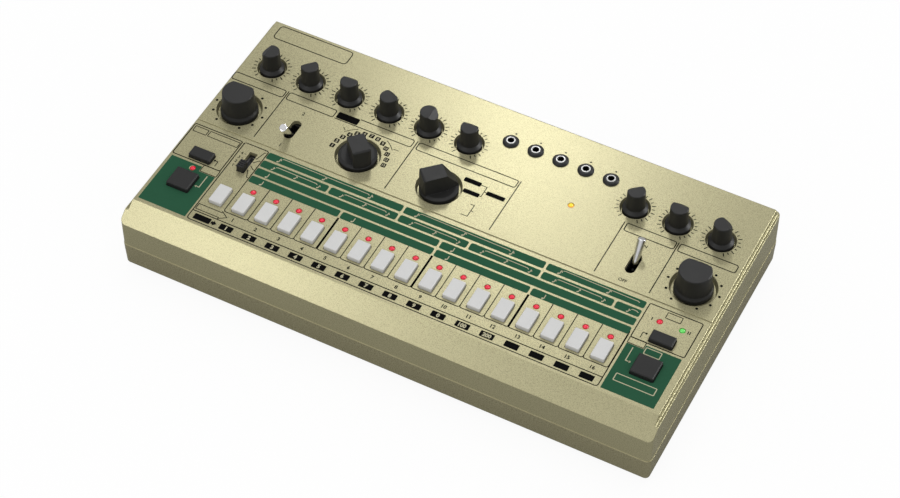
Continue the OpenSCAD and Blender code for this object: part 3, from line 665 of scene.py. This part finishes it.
def jack_dots(black):
    """One dot behind each small jack."""
    middle_jack = middle("voice_jacks")[0]
    for i in range(-2, 3):
        black.dot(middle_jack + 14.6 * i, 63.7, 0.55)


def toggle_marks(black):
    """Figures at the variant toggle, and ON and OFF at the distortion toggle."""
    variant, distortion, front, weight = -100.8, 98.4, -1.0, 0.02
    black.figures("2", variant, 24.0, 2.3, weight)
    black.figures("1", variant, front, 2.3, weight)
    black.figures("ON", distortion, 24.4, 2.0, weight)
    black.figures("OFF", distortion, front, 2.0, weight)


def leader(ink, x, y, across, along, w):
    """Thin line from a dot, across to a corner and then along the Y axis."""
    ink.dot(x, y, LEADER_DOT)
    ink.path([(x, y), (across, y), (across, along)], w)


def left_block(black, cream, green, w):
    """Markings of the clear and start buttons at the left end."""
    thin = w * 0.8
    black.frame(-148.4, BUTTON_FRAME_LOW, -119.3, -8.3, 1.0, w)
    for left, right in ((-147.2, -139.2), (-138.1, -120.0)):
        black.frame(left, -13.4, right, -9.7, 0.3, thin)
    leader(black, -125.4, -26.6, -123.6, -30, thin)
    left, right, notch = -147.6, -119.2, -129.1
    green.fill([(left, FIELD_LOW), (right, FIELD_LOW), (right, -36.8), (notch, -36.8),
                (notch, -33.4), (left, -33.4)],
               key_hole("start_button"), circle(*START_LAMP, LAMP_HOLE))
    black.frame(-128.7, -36.4, -119, -31.9, 0.3, thin)
    leader(cream, -125, -46.4, -123.2, -37.9, w * 0.9)


def right_block(black, cream, green, w):
    """Markings of the group and tap buttons at the right end."""
    thin = w * 0.8
    black.frame(117, BUTTON_FRAME_LOW, 146, -8.1, 1.0, w)
    black.frame(127.5, -13.2, 135.6, -9.4, 0.3, thin)
    for x in (121.8, 141.4, 142.4):
        black.box(x - 0.25, -17.6, x + 0.25, -15.6, 0.1)
    leader(black, 123.3, -26.5, 121.4, -30.2, thin)
    left, right, notch = 117, 145.5, 126.2
    green.fill([(left, FIELD_LOW), (right, FIELD_LOW), (right, -33.3), (notch, -33.3),
                (notch, -36.0), (left, -36.0)], key_hole("tap_button"))
    black.frame(117, -35.6, 125.8, -31.6, 0.3, thin)
    cream.frame(127, -38.5, 135.4, -34.4, 0.4, w * 0.9)
    cream.frame(120.5, -59.8, 142.1, -55.3, 0.4, w * 0.9)
    leader(cream, 123.1, -46.3, 121, -37.4, w * 0.9)


def scale_block(black, w):
    """Frame of the function key and the scale switch, its figures and its leader lines."""
    left, right, rear, front, split = -118, 115.5, -9.3, -65.5, -60.9
    cells = FIRST_KEY - PITCH / 2 - 0.3
    black.path([(left, split), (left, rear), *arc(left + 1.2, rear, 1.2, 180, 90),
                *arc(cells - 1.2, rear, 1.2, 90, 0), (cells, -31)], w)
    black.path([(left, split), *arc(left + 1.6, front, 1.6, 180, 270),
                *arc(right - 1.6, front, 1.6, 270, 360), (right, -29)], w)
    black.path([(left, split), (right, split)], w)
    black.path([(-117.2, -59.5), (-103.5, -59.5), (-103.5, -60.3), (-99.6, -57.7),
                (-103.5, -55.1), (-103.5, -55.9), (-117.2, -55.9)], w * 0.8, closed=True)
    for text, y in (("4", -15.3), ("3", -18.4), ("2", -21.5), ("1", -24.6)):
        black.figures(text, -115.6, y, 1.9, 0.02)
        black.path([(-114.2, y + 0.1), (-113.2, y + 0.1)], w * 0.7)
    for near, far in (((-106.6, -15.6), (-105.0, -9.8)), ((-106.6, -18.5), (-104.8, -16.2)),
                      ((-106.7, -21.2), (-104.8, -22.8)), ((-106.7, -24.4), (-104.8, -29.0))):
        black.path([(-107.2, near[1]), near, far, (far[0] + 0.9, far[1])], w * 0.8)


def key_cells(black, cream, w):
    """Cells round the step keys, their figures and the badges under them."""
    (low, high), r = KEY_CELLS, 1.3
    badge_low, badge_high = BADGE_ROW
    for i, (x, _) in enumerate(KEYS):
        left = x - PITCH / 2 - (0.3 if i == 0 else 0)
        right = x + PITCH / 2
        black.path([(left, high), *arc(left + r, low + r, r, 180, 270),
                    *arc(right - r, low + r, r, 270, 360), (right, high)], w * 0.9)
        black.figures(str(i + 1), x + 0.2, CELL_FIGURES, 2.4, 0.035)
        black.box(x - 3.8, badge_low, x + 3.8, badge_high, 0.45)
    for i in (4, 8, 12):
        x = KEYS[i][0] - PITCH / 2
        black.box(x - 0.6, low, x + 0.6, high, 0.1)
    figures = [str(i) for i in range(1, 10)] + ["0", "100", "200"]
    for text, (x, _) in zip(figures, KEYS):
        cream.figures(text, x, BADGE_MIDDLE, 2.5, 0.05)
    black.box(-115.4, badge_low, -105.6, badge_high, 0.45)
    black.fill([(-105.2, -64.9), (-104, -64.9), (-104, -65.7), (-102, BADGE_MIDDLE),
                (-104, -62.35), (-104, -63.15), (-105.2, -63.15)])


def note(ink, x, y, size, w, flag=True):
    """A small note: leaning head, stem and flag."""
    half_length, half_height = 0.72 * size, 0.5 * size
    lean_along, lean_up = 0.91, 0.42
    head = [(px * half_length, py * half_height) for px, py in circle(0, 0, 1)]
    ink.fill([(x + px * lean_along - py * lean_up, y + px * lean_up + py * lean_along)
              for px, py in head])
    stem = x + 0.62 * size
    ink.path([(stem, y + 0.15 * size), (stem, y + 2.7 * size)], w)
    if flag:
        ink.path([(stem, y + 2.6 * size), (stem + 0.5 * size, y + 1.9 * size),
                  (stem + 0.95 * size, y + 1.25 * size)], w * 1.2)


def slur(ink, x0, y0, x1, y1, w):
    """Thin line from one note to another with drooping ends."""
    ink.path([(x0, y0 - 0.4), (x0 + 0.9, y0), (x1 - 1.6, y1 + 0.1), (x1 - 0.6, y1 - 0.5)], w * 0.7)


def note_x(step):
    """Place of the note over a step, from 1 to 16."""
    return FIRST_KEY + (step - 1) * PITCH + 0.4


def step_strips(green, cream, w):
    """Four green strips over the keys, cut into their bars, with pale notes on them."""
    for low, high, steps in STRIPS:
        bar = steps * PITCH
        bars = math.ceil(STEPS / steps)
        for k in range(bars):
            last = k == bars - 1
            right = STRIP_END if last else STRIP_START + (k + 1) * bar - STRIP_GAP
            green.box(STRIP_START + k * bar, low, right, high, 1.0)
    for group in ((1, 3, 5), (7, 9, 11), (13, 15)):
        for step in group:
            note(cream, note_x(step), -12.0, 1.0, w * 0.8)
        last = note_x(group[-1]) if len(group) == 3 else STRIP_END - 2.6
        slur(cream, note_x(group[0]) + 1.6, -9.2, last, -9.9, w)
    for step in range(1, STEPS + 1):
        note(cream, note_x(step), -18.2, 0.78, w * 0.7)
    for step in (1, 4, 7, 10, 13):
        slur(cream, note_x(step) + 1.4, -15.7, note_x(step + 2) - 0.2, -16.1, w)
    slur(cream, note_x(STEPS) + 1.4, -15.7, STRIP_END - 0.6, -16.0, w)
    for step in (1, 9):
        note(cream, note_x(step), -24.2, 1.0, w * 0.8, flag=False)
    for step in (1, 5, 9, 13):
        note(cream, note_x(step), -30.2, 1.0, w * 0.8, flag=False)


# ---------------------------------------------------------------- stage

# Name, place, target and width in metres, power in watts, and whether it only makes highlights
LAMPS = (
    ("lamp_rear", (-0.472, 1.116, 1.287), (0.013, 0.07, 0.042), 0.2, 3.0, True),
    ("lamp_rear_right", (-0.465, 1.028, 1.323), (0.02, 0.02, 0.042), 0.35, 0.8, True),
    ("lamp_front_left", (-0.775, -1.017, 1.287), (-0.11, -0.074, 0.038), 0.35, 3.6, True),
    ("lamp_front_middle", (-0.666, -1.031, 1.306), (-0.06, -0.074, 0.038), 0.35, 0.8, True),
    ("lamp_right", (1.31, 0.97, 0.51), (0.1, 0, 0.03), 0.5, 18.0, True),
    ("lamp_top", (0.1, 0.3, 2.2), (0, 0, 0), 1.6, 8.0, False),
    ("lamp_front", (-0.1, -1.5, 1.2), (0, 0, 0.03), 0.9, 3.0, False),
)

WHITE = (1, 1, 1, 1)
FLOOR_REACH = 6
FLOOR_GLOW, GLOW_SHARE = 1.1, 0.84

FOCAL_LENGTH, SENSOR_WIDTH = 95.9, 36.0
CAMERA_PLACE = Vector((0.3743, -0.7167, TOP * MM + 0.936))
CAMERA_RIGHT = Vector((0.8865, 0.4628, -0.0002))
CAMERA_AHEAD = Vector((-0.2970, 0.5685, -0.7672))
NEAREST, FARTHEST = 0.05, 30.0


def lay_floor(colour):
    """Plain pale floor that looks white when it is seen and still takes the shadow."""
    r = FLOOR_REACH
    mesh = bpy.data.meshes.new("floor")
    mesh.from_pydata([(-r, -r, 0), (r, -r, 0), (r, r, 0), (-r, r, 0)], [], [(0, 1, 2, 3)])
    floor = bpy.data.objects.new("floor", mesh)
    bpy.context.scene.collection.objects.link(floor)
    f = Finish("floor_white")
    dull = f.node("ShaderNodeBsdfDiffuse", None, {"Color": (*colour, 1)})
    glow = f.node("ShaderNodeEmission", None, {"Color": WHITE, "Strength": FLOOR_GLOW})
    both = f.node("ShaderNodeMixShader", None,
                  {0: f.seen() * GLOW_SHARE, 1: dull.outputs[0], 2: glow.outputs[0]})
    f.node("ShaderNodeOutputMaterial", None, {"Surface": both.outputs[0]})
    mesh.materials.append(f.material)


def even_sky(strength):
    """Even light from all round, which is plain white where it is seen."""
    world = bpy.data.worlds.new("studio")
    sky = Nodes(world)
    level = sky.node("ShaderNodeMapRange", None,
                     {"Value": sky.seen(), "To Min": strength, "To Max": 1.0})
    back = sky.node("ShaderNodeBackground", None, {"Color": WHITE, "Strength": level.outputs[0]})
    sky.node("ShaderNodeOutputWorld", None, {"Surface": back.outputs[0]})
    bpy.context.scene.world = world


def soft_lamp(name, place, target, width, power, highlights_only):
    """Square soft lamp at a place, turned to a target."""
    lamp = bpy.data.lights.new(name, "AREA")
    lamp.shape, lamp.size, lamp.energy = "SQUARE", width, power
    holder = bpy.data.objects.new(name, lamp)
    holder.location = place
    holder.visible_diffuse = not highlights_only
    way = Vector(target) - Vector(place)
    holder.rotation_euler = way.to_track_quat("-Z", "Y").to_euler()
    bpy.context.scene.collection.objects.link(holder)


def set_camera():
    """Camera beyond the front right corner, looking down at the panel."""
    lens = bpy.data.cameras.new("camera")
    lens.lens, lens.sensor_width, lens.sensor_fit = FOCAL_LENGTH, SENSOR_WIDTH, "HORIZONTAL"
    lens.clip_start, lens.clip_end = NEAREST, FARTHEST
    camera = bpy.data.objects.new("camera", lens)
    right = CAMERA_RIGHT.normalized()
    ahead = CAMERA_AHEAD.normalized()
    right = (right - ahead * right.dot(ahead)).normalized()
    turn = Matrix((right, right.cross(ahead), -ahead)).transposed()
    camera.matrix_world = Matrix.Translation(CAMERA_PLACE) @ turn.to_4x4()
    bpy.context.scene.collection.objects.link(camera)
    bpy.context.scene.camera = camera


# ---------------------------------------------------------------- operators


class DRUM_OT_stage(bpy.types.Operator):
    """Sets up the floor, the lamps and the camera"""

    bl_idname = "drum.stage"
    bl_label = "Set Stage"

    def execute(self, context):
        s = context.scene.drum_stage
        context.scene.view_settings.view_transform = "Standard"
        lay_floor(s.floor)
        even_sky(s.sky)
        for name, place, target, width, power, highlights_only in LAMPS:
            soft_lamp(name, place, target, width, power * s.level, highlights_only)
        set_camera()
        return {"FINISHED"}


class DRUM_OT_shells(bpy.types.Operator):
    """Paints the upper and lower shells"""

    bl_idname = "drum.shells"
    bl_label = "Paint Shells"

    def execute(self, context):
        s = context.scene.drum_finish
        dress({
            "shell_paint": metallic_paint("shell_paint", s.paint, s.paint_roughness, s.edge),
            "lower_shell_paint": metallic_paint("lower_shell_paint", s.lower_paint,
                                                s.paint_roughness, s.edge),
            "feet_rubber": rubber("feet_rubber", FEET_RUBBER),
            "screw_steel": plated_metal("screw_steel", SCREW_STEEL, roughness=0.3),
        })
        return {"FINISHED"}


class DRUM_OT_controls(bpy.types.Operator):
    """Finishes the knobs, keys, buttons and levers"""

    bl_idname = "drum.controls"
    bl_label = "Finish Controls"

    def execute(self, context):
        s = context.scene.drum_finish
        dress({
            "knob_plastic": moulded_plastic("knob_plastic", s.knob, 0.45, s.edge, sheen=0.5),
            "button_plastic": moulded_plastic("button_plastic", s.button, 0.5, s.edge, sheen=0.4),
            "key_plastic": moulded_plastic("key_plastic", s.key, 0.42, s.key_edge, sheen=0.6),
            "lever_chrome": plated_metal("lever_chrome", CHROME, roughness=0.12,
                                         lines=(1, 1, 0.1), shaded_below=LEVER_SHADED_BELOW),
        })
        return {"FINISHED"}


class DRUM_OT_lamps(bpy.types.Operator):
    """Finishes the lamps"""

    bl_idname = "drum.lamps"
    bl_label = "Finish Lamps"

    def execute(self, context):
        dress({
            "red_lens": lamp_lens("red_lens", RED_CORE, RED_RIM, glow=0.6),
            "green_lens": lamp_lens("green_lens", GREEN_CORE, GREEN_RIM, glow=0.55),
            "amber_lens": lamp_lens("amber_lens", AMBER_CORE, AMBER_RIM, glow=0.66),
        })
        return {"FINISHED"}


class DRUM_OT_inside(bpy.types.Operator):
    """Finishes the sockets, boards and what else is inside the case"""

    bl_idname = "drum.inside"
    bl_label = "Finish Sockets and Boards"

    def execute(self, context):
        edge = context.scene.drum_finish.edge
        dress({
            "circuit_board": circuit_board("circuit_board"),
            "control_metal": plated_metal("control_metal", CONTROL_METAL, roughness=0.35,
                                          lines=(1, 0.2, 1)),
            "socket_plastic": moulded_plastic("socket_plastic", SOCKET_BLACK, 0.4, edge,
                                              sheen=0.5),
            "nickel": plated_metal("nickel", NICKEL, roughness=0.3, lines=(1, 1, 0.3)),
            "ribbon_grey": ribbed_cable("ribbon_grey"),
        })
        return {"FINISHED"}


class DRUM_OT_print(bpy.types.Operator):
    """Prints the markings on the panel"""

    bl_idname = "drum.print"
    bl_label = "Print Panel"

    def execute(self, context):
        s = context.scene.drum_print
        w = s.line / MM
        black, green, cream = Ink(s.layer), Ink(s.layer), Ink(2 * s.layer)
        title_frames(black, w)
        for x, y in SMALL_KNOBS:
            dial_ticks(black, x, y, w)
        for x, y in LARGE_KNOBS:
            dial_dots(black, x, y)
        title_badge(black)
        instrument_badges(black, cream, w)
        mode_badges(black, w)
        jack_dots(black)
        toggle_marks(black)
        left_block(black, cream, green, w)
        right_block(black, cream, green, w)
        scale_block(black, w)
        key_cells(black, cream, w)
        step_strips(green, cream, w)
        black.lay("print_black", printed_ink("ink_black", s.black))
        green.lay("print_green", printed_ink("ink_green", s.green))
        cream.lay("print_cream", printed_ink("ink_cream", s.cream))
        return {"FINISHED"}


OPERATORS = (DRUM_OT_stage, DRUM_OT_shells, DRUM_OT_controls, DRUM_OT_lamps, DRUM_OT_inside,
             DRUM_OT_print)


class DRUM_PT_sidebar(bpy.types.Panel):
    """Lists the settings and the steps"""

    bl_idname = "DRUM_PT_sidebar"
    bl_label = "Drum Machine"
    bl_space_type = "VIEW_3D"
    bl_region_type = "UI"
    bl_category = "Drum Machine"

    def draw(self, context):
        layout = self.layout
        for name in GROUPS:
            group = getattr(context.scene, name)
            box = layout.box()
            for key in group.__annotations__:
                box.prop(group, key)
        for operator in OPERATORS:
            layout.operator(operator.bl_idname)


GROUPS = {"drum_finish": FinishSettings, "drum_print": PrintSettings, "drum_stage": StageSettings}


def register():
    for name, group in GROUPS.items():
        bpy.utils.register_class(group)
        setattr(bpy.types.Scene, name, PointerProperty(type=group))
    for operator in OPERATORS:
        bpy.utils.register_class(operator)
    bpy.utils.register_class(DRUM_PT_sidebar)


def unregister():
    bpy.utils.unregister_class(DRUM_PT_sidebar)
    for operator in reversed(OPERATORS):
        bpy.utils.unregister_class(operator)
    for name, group in GROUPS.items():
        delattr(bpy.types.Scene, name)
        bpy.utils.unregister_class(group)


def main():
    """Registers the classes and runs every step."""
    register()
    for step in (bpy.ops.drum.stage, bpy.ops.drum.shells, bpy.ops.drum.controls,
                 bpy.ops.drum.lamps, bpy.ops.drum.inside, bpy.ops.drum.print):
        if step() != {"FINISHED"}:
            raise RuntimeError("a step was cancelled")


if __name__ == "__main__":
    main()
